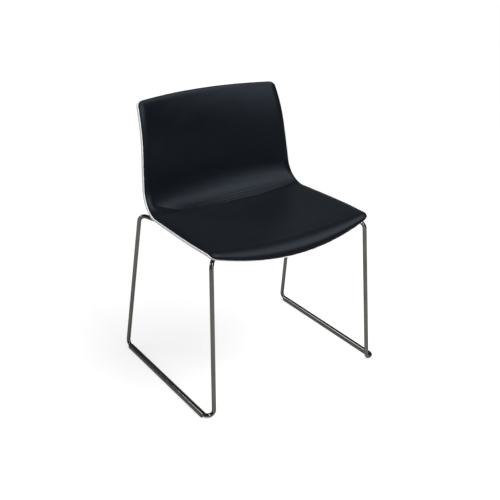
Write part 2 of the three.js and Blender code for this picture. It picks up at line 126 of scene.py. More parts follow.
# Stations of the fine faces
COLUMNS = 128
CORNER_STEPS = 9
ROW_STEP = 5.0
FOLD_ROW_STEP = 1.25
FOLD_FROM = 345.0
LIP_ROW_STEP = 2.5
LIP_TO = 75.0
FOLD_TO = 500.0

# Halvings of the range when a station is looked for
HALVINGS = 40

# Swelling of the pad in the cloth simulation
PAD_ROWS = 106
PAD_COLUMNS = 74
PAD_PRESSURE = 3.0
PAD_MASS = 0.3
PAD_STRETCH_STIFFNESS = 12
PAD_BEND_STIFFNESS = 4
PAD_QUALITY = 6
PAD_FRAMES = 20
SWELL_SHARE = 0.3
SWELL_CAP = 1.6
SWELL_SMOOTHING = 8

# The relief of the leather fades out towards the edges and is pulled flat over the front lip
EDGE_FADE = 30.0
TAUT_TO = 25.0
TAUT_FADE = 90.0
FOLLOWS_TO = COVER_BACK + 1.0

# Crease in the fold, in rows of (distance across, distance along)
CREASE_LINE = [
    (-262, 446), (-224, 427), (-190, 405), (-160, 390), (-119, 375), (-69, 370), (-29, 375),
    (17, 379), (60, 377), (110, 375), (168, 382), (230, 389), (262, 392),
]
CREASE_DEPTH = 2.4
CREASE_BELOW = 10.0
CREASE_ABOVE = 16.0
CREASE_ROUNDING = 0.8

# How strong the crease is: at least this share, and bells of (distance across, width, gain)
CREASE_LEAST = 0.45
CREASE_GAINS = [(60.0, 190.0, 0.55), (-215.0, 60.0, 0.9)]

# Stretch lines above the crease: (distance up, height, lean, phase)
STRETCH_LINES = [
    (8.0, 0.85, 0.4, 0.0), (15.5, 1.15, 0.7, 1.3), (23.0, 1.20, 1.2, 2.2), (31.0, 1.00, 1.5, 0.7),
    (39.0, 0.70, 2.1, 3.1), (47.0, 0.45, 2.4, 4.0), (55.0, 0.30, 3.0, 5.2),
]
LINE_WIDTH = 2.2
LINE_WAVE = 1.2
LINE_WAVE_LENGTH = 47.0
LINE_MIDDLE = 60.0
LINE_REACH = 150.0
LINE_STAGGER = 18.0
LINE_STAGGER_TURN = 2.1

# Small gather at the left end of the crease: a ridge with a groove below it
PUCKER_ALONG = 440.0
PUCKER_ACROSS = -236.0
PUCKER_HEIGHT = 0.3
PUCKER_WIDTH = 12.0
RIDGE_WIDTH = 2.4
GROOVE_WIDTH = 2.6
GROOVE_DEPTH = 1.2
GROOVE_GAP = 5.0

# Bent rods and what is welded or snapped to them
ROD_RADIUS = 6.0
ROD_HEIGHT = 9.3
ROD_SIDES = 32
RUNNER_HALF_SPAN = 294.4
UNDER_SEAT_HALF_SPAN = 180.0
GLIDE_REAR = 226.0
SCREW_HALF_SPACING = 130.0
FRONT_PLATE = -165.0
REAR_PLATE = 55.0
PLATE_WIDTH = 34.0
PLATE_GAP = 0.5
PLATE_EDGE = 0.5
GLIDE_EDGE = 0.35
BEAD_RADIUS = 2.1
BEAD_STAND_OFF = 0.4
BEAD_END_GAP = 1.5
BEAD_END_SHARE = 0.35
BEAD_BLUNTNESS = 0.3
BEAD_RIPPLE = 0.09
BEAD_RIPPLES = 13

# In a copied mesh, points nearer than this in metres are one, and so are faces within this angle
SAME_POINT = 0.00001
SAME_PLANE = math.radians(1.0)

# Corners of the right rod's closed loop: (x, y, z) and the radius of the bend
LOOP_CORNERS = [
    ((RUNNER_HALF_SPAN, 243.5, ROD_HEIGHT), 14),
    ((RUNNER_HALF_SPAN, -230.5, ROD_HEIGHT), 14),
    ((269.9, -236.2, ROD_HEIGHT), 14),
    ((253.4, -211.0, 451.05), 22),
    ((UNDER_SEAT_HALF_SPAN, -140.0, 441.3), 40),
    ((UNDER_SEAT_HALF_SPAN, 24.0, 431.75), 40),
    ((271.6, 153.9, 466.0), 22),
]
BEND_STEP = math.radians(6)
RUN_STEP = 30.0

# Floor, in metres: it lies a little below the glides; its colour, and the light it adds for the camera
FLOOR_HALF = 12.0
FLOOR_DROP = 0.0002
FLOOR_GREY = 0.26
FLOOR_GLOW = 0.79

# Suns: direction of the source, spread in degrees, strength
SUNS = {
    "overhead": ((0.40, -0.20, 0.89), 36, 2.05),
    "rear_left": ((-0.68, 0.62, 0.40), 20, 0.85),
}

# Lit panels in metres: place, width and height, radiance; they stand outside the picture
PANELS = {
    "front_high": ((0.24, -1.20, 1.86), (1.04, 0.76), 11.5),
    "front_low": ((0.40, -1.75, 1.20), (0.60, 0.56), 4.4),
    "left_strip": ((-0.30, -1.75, 0.78), (0.22, 0.90), 8.0),
}
PANELS_FACE = (0.0, 0.0, 0.60)

# Room round the chair: its colour, the side it is brighter on, and its level on the dark and bright side
WALL_COLOUR = (0.92, 0.945, 1.0)
WALL_LIGHT = (-0.30, 0.95, 0.0)
WALL_DARK = 0.04
WALL_BRIGHT = 0.27

# Camera fitted to the photograph: angles in radians, focal length in pixels, place in millimetres
CAMERA_AZIMUTH = -0.580593
CAMERA_ELEVATION = 0.416369
CAMERA_ROLL = -0.0015125
CAMERA_FOCUS = 854.475
CAMERA_PLACE = (-1254.25, -1916.25, 1357.63)
CAMERA_RANGE = (0.05, 60)
SENSOR = 36.0

# The model's origin lies under the middle of its box
shift_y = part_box("runner_glide_right")[1].y / MM - GLIDE_REAR


# Small sums


def unit(v):
    return v / np.linalg.norm(v)


def eased(share):
    share = np.clip(share, 0, 1)
    return share * share * (3 - 2 * share)


def bell(distance, width):
    return np.exp(-((distance / width) ** 2))


def quarter_steps(first, steps):
    """Angles of a quarter turn cut into steps, from the first step on."""
    return QUARTER * np.arange(first, steps + 1) / steps


def circle_round(axis, aside, sides):
    """Points of a unit circle round an axis; aside is any direction that isn't along it."""
    one = unit(np.cross(axis, aside))
    two = np.cross(axis, one)
    turn = TURN * np.arange(sides) / sides
    return np.cos(turn)[:, None] * one + np.sin(turn)[:, None] * two


def rotated(v, axis, angle):
    return np.array(Quaternion(Vector(axis), angle) @ Vector(v))


# Surface of the upholstered face


def bent_line(forward, height, lip_sweep, lip_radius, seat_run, fold_radius, lower_back, upper_radius):
    """Chain of arcs and straight runs: (start, length, first angle, last angle, y, z)."""
    turns = [
        (lip_radius * (lip_sweep + SEAT_FALL), lip_sweep, -SEAT_FALL),
        (seat_run, -SEAT_FALL, -SEAT_FALL),
        (fold_radius * (FOLD_END + SEAT_FALL), -SEAT_FALL, FOLD_END),
        (lower_back, FOLD_END, FOLD_END),
        (upper_radius * (FOLD_END - TOP_ANGLE), FOLD_END, TOP_ANGLE),
    ]
    parts, start, y, z = [], 0.0, -forward, height
    for length, first, last in turns:
        parts.append((start, length, first, last, y, z))
        y, z = point_along(parts[-1], length)
        start += length
    return parts


def point_along(part, distance):
    """Place (y, z) at a distance along one arc or straight run."""
    _, length, first, last, y, z = part
    if first == last:
        return y + distance * math.cos(first), z + distance * math.sin(first)
    radius = length / (last - first)
    angle = first + distance / radius
    return (
        y + radius * (np.sin(angle) - math.sin(first)),
        z - radius * (np.cos(angle) - math.cos(first)),
    )


centre_line = bent_line(
    LIP_END_FORWARD, LIP_END_HEIGHT, LIP_SWEEP, LIP_RADIUS, SEAT_RUN,
    FOLD_RADIUS, LOWER_BACK_LENGTH, UPPER_BACK_RADIUS,
)
side_line = bent_line(
    SIDE_LIP_END_FORWARD, SIDE_LIP_END_HEIGHT, SIDE_LIP_SWEEP, SIDE_LIP_RADIUS, SIDE_SEAT_RUN,
    SIDE_FOLD_RADIUS, SIDE_LOWER_BACK_LENGTH, SIDE_UPPER_BACK_RADIUS,
)
LENGTH = centre_line[-1][0] + centre_line[-1][1]
FOLD_ENDS = centre_line[3][0]


def face_point(s, x):
    """Points of the face over distance along the centre line and distance across."""
    s, x = np.broadcast_arrays(np.asarray(s, float), np.asarray(x, float))
    y = np.zeros(s.shape)
    z = np.zeros(s.shape)
    share = (x / WRAP_WIDTH) ** 2
    for middle, side in zip(centre_line, side_line):
        starts = -math.inf if middle is centre_line[0] else middle[0]
        ends = math.inf if middle is centre_line[-1] else middle[0] + middle[1]
        here = (s >= starts) & (s < ends)
        distance = s - middle[0]
        cy, cz = point_along(middle, distance)
        ey, ez = point_along(side, distance * side[1] / middle[1])
        y = np.where(here, cy + (ey - cy) * share, y)
        z = np.where(here, cz + (ez - cz) * share, z)
    return np.stack([x, y + shift_y, z], -1)


def face_normal(s, x, step=0.3):
    across = face_point(s, x + step) - face_point(s, x - step)
    along = face_point(s + step, x) - face_point(s - step, x)
    normal = np.cross(across, along)
    return normal / np.linalg.norm(normal, axis=-1, keepdims=True)


def layer_point(s, x, depth):
    """Points at a depth below the face."""
    return face_point(s, x) - face_normal(s, x) * np.asarray(depth, float)[..., None]


def station_at(y, x):
    """Distance along at which the face stands at a distance back, found by halving."""
    low, high = 0.0, FOLD_ENDS
    for _ in range(HALVINGS):
        middle = (low + high) / 2
        if face_point(middle, x)[1] - shift_y < y:
            low = middle
        else:
            high = middle
    return low


def curve_through(rows, position):
    """Smooth curve through rows of (position, value)."""
    at = np.array([row[0] for row in rows], float)
    value = np.array([row[1] for row in rows], float)
    slope = np.empty(len(rows))
    slope[1:-1] = (value[2:] - value[:-2]) / (at[2:] - at[:-2])
    slope[0] = (value[1] - value[0]) / (at[1] - at[0])
    slope[-1] = (value[-1] - value[-2]) / (at[-1] - at[-2])
    position = np.clip(position, at[0], at[-1])
    k = np.clip(np.searchsorted(at, position, side="left") - 1, 0, len(rows) - 2)
    span = at[k + 1] - at[k]
    t = (position - at[k]) / span
    rise = value[k + 1] - value[k]
    a = slope[k] * span - rise
    b = rise - slope[k + 1] * span
    return value[k] + t * rise + t * (1 - t) * (a * (1 - t) + b * t)


def half_width(s):
    """Half width of the shell at a distance along."""
    return SHELL_HALF_WIDTH * curve_through(WIDTH_SHARES, np.asarray(s, float) / LENGTH)


def inner_rows():
    """Stations between the two rows of corners, closer together in the fold."""
    rows = [FRONT_CORNER]
    end = LENGTH - TOP_CORNER
    while rows[-1] < end:
        fine = FOLD_FROM <= rows[-1] < FOLD_TO
        lip = rows[-1] < LIP_TO
        rows.append(rows[-1] + (FOLD_ROW_STEP if fine else LIP_ROW_STEP if lip else ROW_STEP))
    rows[-1] = end
    return np.array(rows)


def stations(inset):
    """Rows of (distance along, half width) of the outline drawn in by an inset, corners rounded."""
    front = max(FRONT_CORNER - inset, LEAST_CORNER)
    top = max(TOP_CORNER - inset, LEAST_CORNER)
    angles = quarter_steps(0, CORNER_STEPS)
    s_front = inset + front * (1 - np.cos(angles))
    s_top = LENGTH - inset - top * (1 - np.cos(angles[::-1]))
    rows = inner_rows()
    first, last = inset + front, LENGTH - inset - top
    s_middle = first + (rows[1:-1] - rows[0]) * (last - first) / (rows[-1] - rows[0])
    s = np.concatenate([s_front, s_middle, s_top])
    half = half_width(s) - inset
    half[: CORNER_STEPS + 1] -= front * (1 - np.sin(angles))
    half[-CORNER_STEPS - 1 :] -= top * (1 - np.sin(angles[::-1]))
    return s, half


# Meshes


def put_in_scene(name, data):
    made = bpy.data.objects.new(name, data)
    bpy.context.scene.collection.objects.link(made)
    return made


def new_object(name, vertices, faces):
    """Smooth mesh object from vertices in millimetres."""
    mesh = bpy.data.meshes.new(name)
    mesh.from_pydata((np.asarray(vertices) * MM).tolist(), [], [list(face) for face in faces])
    mesh.validate()
    mesh.update()
    mesh.shade_smooth()
    return put_in_scene(name, mesh)


def finish_piece(piece, material, slot, *nodes):
    """The piece gets its material, rides on the one body and stands for its nodes."""
    piece.data.materials.clear()
    piece.data.materials.append(material)
    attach(piece, "root")
    if nodes:
        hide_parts(*nodes)


def apply_modifiers(piece):
    """The piece's mesh becomes the one that its modifiers make."""
    bpy.context.view_layer.update()
    evaluated = piece.evaluated_get(bpy.context.evaluated_depsgraph_get())
    mesh = bpy.data.meshes.new_from_object(evaluated)
    old = piece.data
    piece.modifiers.clear()
    piece.data = mesh
    bpy.data.meshes.remove(old)


def loop_of(rows, columns):
    """Indices round the rim of a grid of rows and columns."""
    grid = np.arange(rows * (columns + 1)).reshape(rows, columns + 1)
    return np.concatenate([grid[0, :-1], grid[:-1, -1], grid[-1, :0:-1], grid[:0:-1, 0]])


def grid_faces(rows, columns, first, facing_front):
    faces = []
    for j in range(rows - 1):
        base = first + j * (columns + 1)
        for i in range(columns):
            a, b = base + i, base + i + 1
            c, d = b + columns + 1, a + columns + 1
            faces.append((a, b, c, d) if facing_front else (a, d, c, b))
    return faces


def tube_faces(rings, sides):
    """Faces between rings of vertices that follow one another."""
    faces = []
    for k in range(rings - 1):
        for i in range(sides):
            a, b = k * sides + i, k * sides + (i + 1) % sides
            faces.append((a, b, b + sides, a + sides))
    return faces


def layered_body(name, rings, point=layer_point, columns=COLUMNS, rows_of=stations):
    """Closed body: a front sheet, edge loops and a back sheet; each ring is (inset, depth)."""
    vertices, faces, loops, count = [], [], [], 0
    for n, (inset, depth) in enumerate(rings):
        s, half = rows_of(inset)
        across = 2 * np.arange(columns + 1) / columns - 1
        depths = np.full((len(s), columns + 1), depth)
        grid = point(s[:, None] + 0 * across, half[:, None] * across, depths).reshape(-1, 3)
        rim = loop_of(len(s), columns)
        if n in (0, len(rings) - 1):
            vertices.append(grid)
            faces += grid_faces(len(s), columns, count, n == 0)
            loops.append(rim + count)
            count += len(grid)
        else:
            vertices.append(grid[rim])
            loops.append(np.arange(len(rim)) + count)
            count += len(rim)
    for upper, lower in zip(loops[:-1], loops[1:]):
        for k in range(len(upper)):
            after = (k + 1) % len(upper)
            faces.append((lower[k], lower[after], upper[after], upper[k]))
    return new_object(name, np.concatenate(vertices), faces)


# Materials


def new_material(name):
    material = bpy.data.materials.new(name)
    material.use_nodes = True
    tree = material.node_tree
    shader = next(node for node in tree.nodes if node.type == "BSDF_PRINCIPLED")
    return material, tree, shader


def set_inputs(node, **values):
    """Values of a node's sockets; a name's spaces are written as underscores."""
    for key, value in values.items():
        node.inputs[key.replace("_", " ")].default_value = value


def texture(tree, kind, **values):
    """Texture node on the object's own coordinates."""
    coordinates = tree.nodes.new("ShaderNodeTexCoord")
    node = tree.nodes.new(kind)
    tree.links.new(coordinates.outputs["Object"], node.inputs["Vector"])
    set_inputs(node, **values)
    return node


def noise(tree, scale, detail, roughness):
    made = texture(tree, "ShaderNodeTexNoise", Scale=scale, Detail=detail, Roughness=roughness)
    return made.outputs["Fac"]


def mottle(tree, shader, source, *stops):
    """Base colour that wanders between two stops of (position, colour)."""
    node = tree.nodes.new("ShaderNodeValToRGB")
    for element, (position, colour) in zip(node.color_ramp.elements, stops):
        element.position = position
        element.color = (*colour, 1)
    tree.links.new(source, node.inputs["Fac"])
    tree.links.new(node.outputs["Color"], shader.inputs["Base Color"])


def remap(tree, source, low, high, from_low=0.0, from_high=1.0):
    """A source's range carried over to the range from low to high."""
    node = tree.nodes.new("ShaderNodeMapRange")
    set_inputs(node, From_Min=from_low, From_Max=from_high, To_Min=low, To_Max=high)
    tree.links.new(source, node.inputs["Value"])
    return node.outputs["Result"]


def vary_roughness(tree, shader, source, low, high):
    tree.links.new(remap(tree, source, low, high, 0.3, 0.7), shader.inputs["Roughness"])


def combine(tree, operation, a, b):
    """Sum, product or the like of two sockets or numbers."""
    node = tree.nodes.new("ShaderNodeMath")
    node.operation = operation
    for socket, value in zip(node.inputs, (a, b)):
        if isinstance(value, (int, float)):
            socket.default_value = value
        else:
            tree.links.new(value, socket)
    return node.outputs["Value"]


def bump(tree, shader, height, strength, distance):
    """Fine relief of the surface; the distance is in metres."""
    node = tree.nodes.new("ShaderNodeBump")
    set_inputs(node, Strength=strength, Distance=distance)
    tree.links.new(height, node.inputs["Height"])
    tree.links.new(node.outputs["Normal"], shader.inputs["Normal"])


def leather_material():
    material, tree, shader = new_material("black_leather")
    pebbles = texture(tree, "ShaderNodeTexVoronoi", Scale=900.0, Randomness=1.0)
    pebbles.feature = "DISTANCE_TO_EDGE"
    pores = noise(tree, 1500.0, 3.0, 0.6)
    patches = noise(tree, 9.0, 4.0, 0.55)
    creases = remap(tree, pebbles.outputs["Distance"], 0.0, 1.0, 0.0, 0.25)
    mottle(tree, shader, patches, (0.3, (0.0016, 0.0023, 0.0031)), (0.7, (0.0023, 0.0032, 0.0043)))
    rough = remap(tree, patches, 0.31, 0.36, 0.3, 0.7)
    rough = combine(tree, "ADD", rough, remap(tree, creases, 0.05, 0.0))
    tree.links.new(rough, shader.inputs["Roughness"])
    set_inputs(shader, Specular_IOR_Level=0.11, Specular_Tint=(0.67, 0.79, 1.0, 1))
    set_inputs(shader, Sheen_Weight=0.036, Sheen_Roughness=0.5, Sheen_Tint=(0.66, 0.83, 1.0, 1))
    height = combine(tree, "ADD", creases, combine(tree, "MULTIPLY", pores, 0.5))
    bump(tree, shader, height, 0.35, 0.00012)
    return material


def shell_material():
    material, tree, shader = new_material("white_moulded_plastic")
    peel = noise(tree, 620.0, 2.0, 0.5)
    clouds = noise(tree, 7.0, 3.0, 0.5)
    mottle(tree, shader, clouds, (0.35, (0.83, 0.83, 0.81)), (0.65, (0.87, 0.87, 0.855)))
    vary_roughness(tree, shader, clouds, 0.34, 0.42)
    bump(tree, shader, peel, 0.12, 0.00006)
    return material


def chrome_material():
    material, tree, shader = new_material("chromed_steel")
    haze = noise(tree, 24.0, 4.0, 0.6)
    grain = noise(tree, 900.0, 2.0, 0.5)
    mottle(tree, shader, haze, (0.3, (0.084, 0.082, 0.074)), (0.7, (0.112, 0.110, 0.100)))
    vary_roughness(tree, shader, haze, 0.06, 0.12)
    set_inputs(shader, Metallic=1.0, Specular_Tint=(0.45, 0.44, 0.41, 1))
    bump(tree, shader, grain, 0.04, 0.00003)
    return material


def glide_material():
    material, tree, shader = new_material("dark_grey_plastic")
    spark = noise(tree, 1400.0, 2.0, 0.6)
    scuff = noise(tree, 60.0, 5.0, 0.65)
    mottle(tree, shader, scuff, (0.35, (0.042, 0.042, 0.039)), (0.75, (0.068, 0.068, 0.064)))
    vary_roughness(tree, shader, scuff, 0.52, 0.68)
    bump(tree, shader, spark, 0.3, 0.00008)
    return material


def foam_material():
    material, tree, shader = new_material("grey_foam")
    cells = texture(tree, "ShaderNodeTexVoronoi", Scale=700.0, Randomness=1.0).outputs["Distance"]
    mottle(tree, shader, cells, (0.0, (0.10, 0.095, 0.085)), (0.6, (0.20, 0.19, 0.17)))
    set_inputs(shader, Roughness=0.95)
    bump(tree, shader, cells, 0.8, 0.0005)
    return material


def board_material():
    material, tree, shader = new_material("pressed_board")
    fibres = noise(tree, 260.0, 5.0, 0.7)
    mottle(tree, shader, fibres, (0.3, (0.012, 0.012, 0.012)), (0.7, (0.032, 0.031, 0.030)))
    set_inputs(shader, Roughness=0.75)
    bump(tree, shader, fibres, 0.5, 0.0002)
    return material


def zinc_material():
    material, tree, shader = new_material("zinc_plated_steel")
    spangle = texture(tree, "ShaderNodeTexVoronoi", Scale=1300.0, Randomness=1.0)
    turned = noise(tree, 420.0, 3.0, 0.5)
    stops = (0.1, (0.47, 0.48, 0.49)), (0.8, (0.58, 0.59, 0.60))
    mottle(tree, shader, spangle.outputs["Distance"], *stops)
    vary_roughness(tree, shader, turned, 0.26, 0.40)
    set_inputs(shader, Metallic=1.0)
    bump(tree, shader, turned, 0.15, 0.00004)
    return material


def brass_material():
    material, tree, shader = new_material("turned_brass")
    turned = noise(tree, 500.0, 3.0, 0.5)
    mottle(tree, shader, turned, (0.3, (0.48, 0.34, 0.13)), (0.7, (0.60, 0.44, 0.19)))
    set_inputs(shader, Metallic=1.0, Roughness=0.3)
    bump(tree, shader, turned, 0.15, 0.00004)
    return material


def floor_material():
    """Pale floor; the camera, mirrors and glass see it lighter than the lamps make it."""
    material, tree, shader = new_material("pale_floor")
    set_inputs(shader, Base_Color=(FLOOR_GREY, FLOOR_GREY, FLOOR_GREY, 1), Roughness=0.95)
    set_inputs(shader, Specular_IOR_Level=0.0, Emission_Color=(1, 1, 1, 1))
    rays = tree.nodes.new("ShaderNodeLightPath").outputs
    seen = combine(tree, "MAXIMUM", rays["Is Camera Ray"], rays["Is Glossy Ray"])
    seen = combine(tree, "MAXIMUM", seen, rays["Is Transmission Ray"])
    glow = combine(tree, "MULTIPLY", seen, FLOOR_GLOW)
    tree.links.new(glow, shader.inputs["Emission Strength"])
    return material


# Pieces


def coarse_rows(inset):
    """Even stations of the pad that is blown up."""
    s = np.linspace(inset, LENGTH - inset, PAD_ROWS)
    fine, half = stations(inset)
    return s, np.interp(s, fine, half)


def blow_up(pad, held):
    """Cloth simulation of the pad under pressure, with the held vertices fixed, applied to its mesh."""
    group = pad.vertex_groups.new(name="held")
    group.add(held, 1.0, "ADD")
    cloth = pad.modifiers.new("cloth", "CLOTH")
    settings = cloth.settings
    settings.vertex_group_mass = group.name
    settings.use_pressure = True
    settings.uniform_pressure_force = PAD_PRESSURE
    settings.effector_weights.gravity = 0
    settings.quality = PAD_QUALITY
    settings.mass = PAD_MASS
    settings.tension_stiffness = settings.compression_stiffness = PAD_STRETCH_STIFFNESS
    settings.bending_stiffness = PAD_BEND_STIFFNESS
    cloth.collision_settings.use_self_collision = False
    cloth.collision_settings.use_collision = False
    for number in range(1, PAD_FRAMES + 1):
        bpy.context.scene.frame_set(number)
    apply_modifiers(pad)
    bpy.context.scene.frame_set(1)


def swelling():
    """Height in millimetres by which the cloth stands off at each even station, from a simulation."""
    rings = [(PAD_EDGE, 0.0), (PAD_EDGE, CARRIER_BACK)]
    pad = layered_body("pad_form", rings, columns=PAD_COLUMNS, rows_of=coarse_rows)
    grid = PAD_ROWS * (PAD_COLUMNS + 1)
    rim = set(loop_of(PAD_ROWS, PAD_COLUMNS).tolist())
    before = np.array([v.co for v in pad.data.vertices[:grid]])
    blow_up(pad, [k for k in range(2 * grid) if k >= grid or k in rim])
    after = np.array([v.co for v in pad.data.vertices[:grid]])
    bpy.data.objects.remove(pad)
    s, half = coarse_rows(PAD_EDGE)
    across = 2 * np.arange(PAD_COLUMNS + 1) / PAD_COLUMNS - 1
    normal = face_normal(s[:, None] + 0 * across, half[:, None] * across).reshape(-1, 3)
    rise = ((after - before) / MM * normal).sum(-1).reshape(PAD_ROWS, PAD_COLUMNS + 1)
    rise = SWELL_CAP * np.tanh(SWELL_SHARE * np.maximum(rise, 0) / SWELL_CAP)
    for _ in range(SWELL_SMOOTHING):
        inner = rise[:-2, 1:-1] + rise[2:, 1:-1] + rise[1:-1, :-2] + rise[1:-1, 2:]
        rise[1:-1, 1:-1] = rise[1:-1, 1:-1] * 0.5 + inner * 0.125
    return rise


def spline_weights(t):
    """Weights of four neighbours in a cubic spline."""
    return [
        (1 - t) ** 3 / 6,
        (3 * t**3 - 6 * t**2 + 4) / 6,
        (-3 * t**3 + 3 * t**2 + 3 * t + 1) / 6,
        t**3 / 6,
    ]


def smooth_lookup(table, row, column):
    """Value of a table between its cells, on a smooth surface through them."""
    r0, c0 = np.floor(row).astype(int), np.floor(column).astype(int)
    total = np.zeros(row.shape)
    for i, wr in enumerate(spline_weights(row - r0)):
        for j, wc in enumerate(spline_weights(column - c0)):
            r = np.clip(r0 + i - 1, 0, table.shape[0] - 1)
            c = np.clip(c0 + j - 1, 0, table.shape[1] - 1)
            total += wr * wc * table[r, c]
    return total


def fold_lines(s, x):
    """The crease where the seat turns up and the fine stretch lines above it."""
    away = s - curve_through(CREASE_LINE, x)
    spread = np.where(away < 0, CREASE_BELOW, CREASE_ABOVE)
    crease = -CREASE_DEPTH * np.exp(-np.sqrt(away * away + CREASE_ROUNDING) / spread)
    lines = np.zeros(s.shape)
    for k, (gap, height, lean, phase) in enumerate(STRETCH_LINES):
        wander = gap + lean * x / 100.0 + LINE_WAVE * np.sin(x / LINE_WAVE_LENGTH + phase)
        middle = LINE_MIDDLE + LINE_STAGGER * math.sin(LINE_STAGGER_TURN * k)
        lines += height * bell(away - wander, LINE_WIDTH) * bell(x - middle, LINE_REACH)
    gains = sum(gain * bell(x - place, width) for place, width, gain in CREASE_GAINS)
    return crease * (CREASE_LEAST + gains) + lines


def pucker(s, x):
    """Small gather at the left end of the crease."""
    along, across = s - PUCKER_ALONG, x - PUCKER_ACROSS
    groove = GROOVE_DEPTH * bell(along + GROOVE_GAP, GROOVE_WIDTH)
    return PUCKER_HEIGHT * bell(across, PUCKER_WIDTH) * (bell(along, RIDGE_WIDTH) - groove)


def relief(s, x):
    """Height of the leather over the plain face, in millimetres."""
    row = (s - PAD_EDGE) / (LENGTH - 2 * PAD_EDGE) * (PAD_ROWS - 1)
    s_even, half_even = coarse_rows(PAD_EDGE)
    half = np.interp(s, s_even, half_even)
    column = (np.clip(x / half, -1, 1) + 1) / 2 * PAD_COLUMNS
    row = np.clip(row, 0, PAD_ROWS - 1.001)
    column = np.clip(column, 0, PAD_COLUMNS - 0.001)
    inside = eased((half - np.abs(x)) / EDGE_FADE)
    loose = eased((s - TAUT_TO) / TAUT_FADE)
    return smooth_lookup(swell, row, column) * loose + (fold_lines(s, x) + pucker(s, x)) * inside


def pad_point(s, x, depth):
    """Layer point that follows the swollen leather, less and less with depth."""
    share = np.clip((CARRIER_FACE - depth) / (CARRIER_FACE - FOLLOWS_TO), 0, 1)
    return layer_point(s, x, depth - relief(s, x) * share)


def rolled_edge(edge, top, width, fall, radius, steps=6, bends=5):
    """Rings of a face that slopes away towards its edge and then rolls over to the side."""
    lean = math.atan(2 * fall / width)
    inner = edge + radius * (1 - math.sin(lean))
    shares = np.arange(steps + 1) / steps
    slope = [(inner + (edge + width - inner) * (1 - u), top + fall * u * u) for u in shares]
    angles = lean + (QUARTER - lean) * np.arange(1, bends + 1) / bends
    turn = [
        (edge + radius * (1 - math.sin(a)), top + fall + radius * (math.cos(lean) - math.cos(a)))
        for a in angles
    ]
    return slope + turn


def make_cover():
    outer = rolled_edge(PAD_EDGE, 0.0, ROLL_WIDTH, ROLL_FALL, ROLL_RADIUS)
    inner = rolled_edge(SKIN_EDGE, COVER_BACK, *SKIN_ROLL)
    rings = [*outer, (PAD_EDGE, CARRIER_BACK), (SKIN_EDGE, CARRIER_BACK), *inner[::-1]]
    piece = layered_body("leather_cover", rings, pad_point)
    finish_piece(piece, leather_material(), "cover_leather", "upholstery_cover")


def make_foam():
    skin = rolled_edge(FOAM_EDGE, FOAM_FACE, *FOAM_ROLL)
    piece = layered_body("foam_layer", [*skin, (FOAM_EDGE, FOAM_BACK)], pad_point)
    finish_piece(piece, foam_material(), "foam", "foam_pad")


def make_carrier():
    piece = layered_body("carrier_sheet", [(FOAM_EDGE, CARRIER_FACE), (FOAM_EDGE, CARRIER_BACK)])
    finish_piece(piece, board_material(), "carrier_board", "pad_carrier")


def boss(x, y, sides=48):
    """Screw boss on the shell's back: a root fillet, a rounded end and the insert's blind hole."""
    root = SHELL_BACK - BOSS_SINK
    fillet = [
        (BOSS_RADIUS + BOSS_FILLET * (1 - math.sin(a)), root + BOSS_FILLET * (1 - math.cos(a)))
        for a in quarter_steps(0, 5)
    ]
    profile = [
        *fillet,
        (BOSS_RADIUS, BOSS_END - BOSS_CHAMFER),
        (BOSS_RADIUS - BOSS_CHAMFER_MIDDLE, BOSS_END - BOSS_CHAMFER_MIDDLE),
        (BOSS_RADIUS - BOSS_CHAMFER, BOSS_END),
        (HOLE_RADIUS + HOLE_CHAMFER, BOSS_END),
        (HOLE_RADIUS, BOSS_END - HOLE_CHAMFER),
        (HOLE_RADIUS, HOLE_FLOOR),
        (HOLE_CENTRE, HOLE_FLOOR),
    ]
    s = station_at(y, x)
    origin, normal = face_point(s, x), face_normal(s, x)
    circle = circle_round(normal, [0.0, 1.0, 0.0], sides)
    vertices = np.concatenate([origin + circle * radius - normal * depth for radius, depth in profile])
    floor = tuple(range((len(profile) - 1) * sides, len(profile) * sides))
    return new_object("boss", vertices, [*tube_faces(len(profile), sides), floor])


def join_to(piece, others):
    """Other pieces become part of one mesh."""
    edit = bmesh.new()
    edit.from_mesh(piece.data)
    for other in others:
        edit.from_mesh(other.data)
        bpy.data.objects.remove(other)
    bmesh.ops.recalc_face_normals(edit, faces=edit.faces)
    edit.to_mesh(piece.data)
    edit.free()
    piece.data.shade_smooth()


def make_shell():
    inner_wall = [(RIM_WALL, SHELL_FACE), (RIM_WALL, RIM_TOP + RIM_ROUNDING)]
    crown = [
        (RIM_WALL - RIM_ROUNDING * (1 - math.cos(a)), RIM_TOP + RIM_ROUNDING * (1 - math.sin(a)))
        for a in quarter_steps(1, 4)
    ]
    outer = [
        (RIM_ROUNDING * (1 - math.sin(a)), RIM_TOP + RIM_ROUNDING * (1 - math.cos(a)))
        for a in quarter_steps(0, 4)
    ]
    back = [
        (SHELL_EDGE_ROUNDING * (1 - math.cos(a)), SHELL_BACK - SHELL_EDGE_ROUNDING * (1 - math.sin(a)))
        for a in quarter_steps(0, 5)
    ]
    piece = layered_body("moulded_shell", [*inner_wall, *crown, *outer, *back])
    places = [(side * SCREW_HALF_SPACING, y) for y in (FRONT_PLATE, REAR_PLATE) for side in (-1, 1)]
    join_to(piece, [boss(x, y) for x, y in places])
    finish_piece(piece, shell_material(), "shell_plastic", "seat_shell")


# Rods, plates and glides


